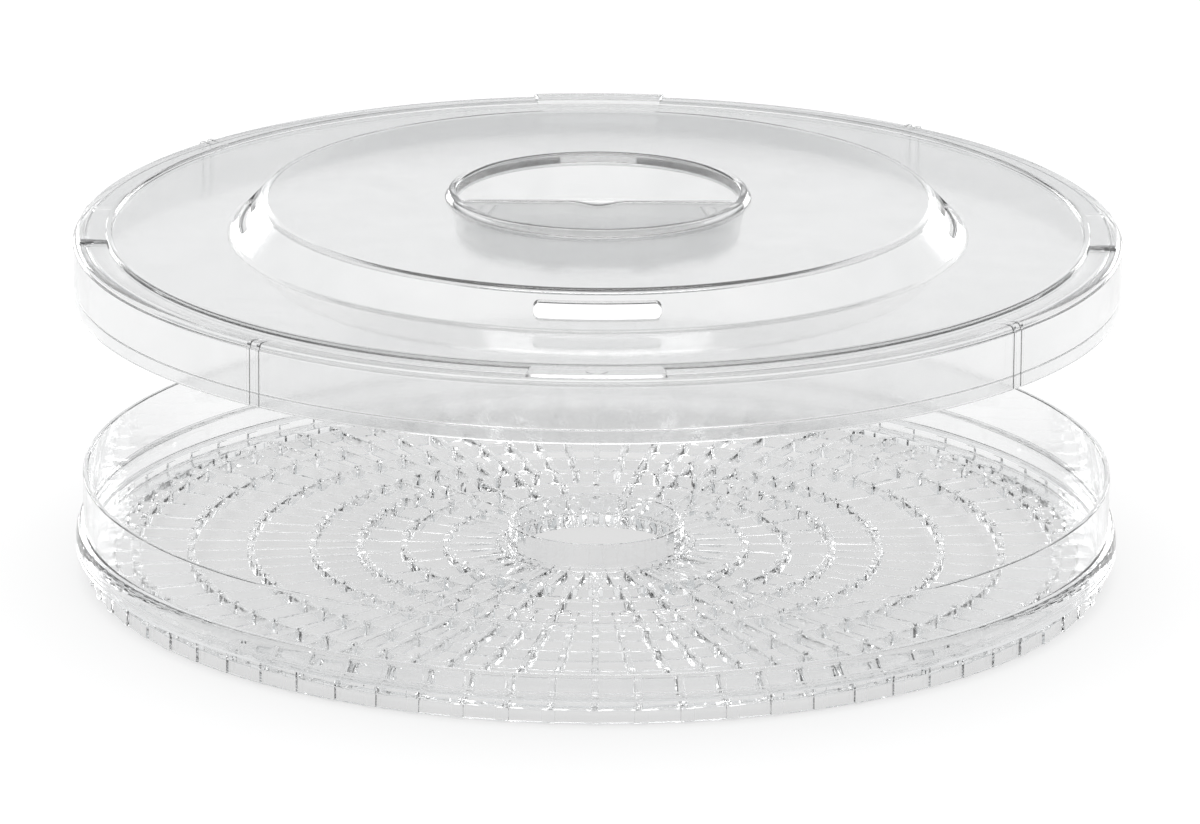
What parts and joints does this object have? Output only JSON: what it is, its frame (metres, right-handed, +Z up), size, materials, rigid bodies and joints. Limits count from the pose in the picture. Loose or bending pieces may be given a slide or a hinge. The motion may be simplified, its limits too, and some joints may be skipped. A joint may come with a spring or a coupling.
{
  "type": "food dehydrator tray and lid",
  "caption": "Clear round drying tray with a slotted floor and open hub, and a clear vented lid with a sunken finger grip, held above it.",
  "frame": {"origin": "centre of the circle that the tray stands on", "axes": "+Z up along the common axis of tray and lid; +X along the grip bar, to the viewer's right; -Y towards the viewer"},
  "size_m": [0.33, 0.33, 0.1227],
  "materials": {
    "tray_plastic": "clear, colourless, moulded",
    "lid_plastic": "clear, colourless, moulded"
  },
  "bodies": {
    "tray": {"tray_wall": "tray_plastic", "tray_foot_ring": "tray_plastic", "tray_grate": "tray_plastic", "tray_hub": "tray_plastic"},
    "lid": {"lid_skirt": "lid_plastic", "lid_panel": "lid_plastic", "grip_well": "lid_plastic", "grip_bar": "lid_plastic"}
  },
  "joints": [
    {"name": "lid_lift", "type": "slide", "parent": "tray", "child": "lid", "axis": [0, 0, 1], "range_m": [-0.0606, 0.05]}
  ]
}
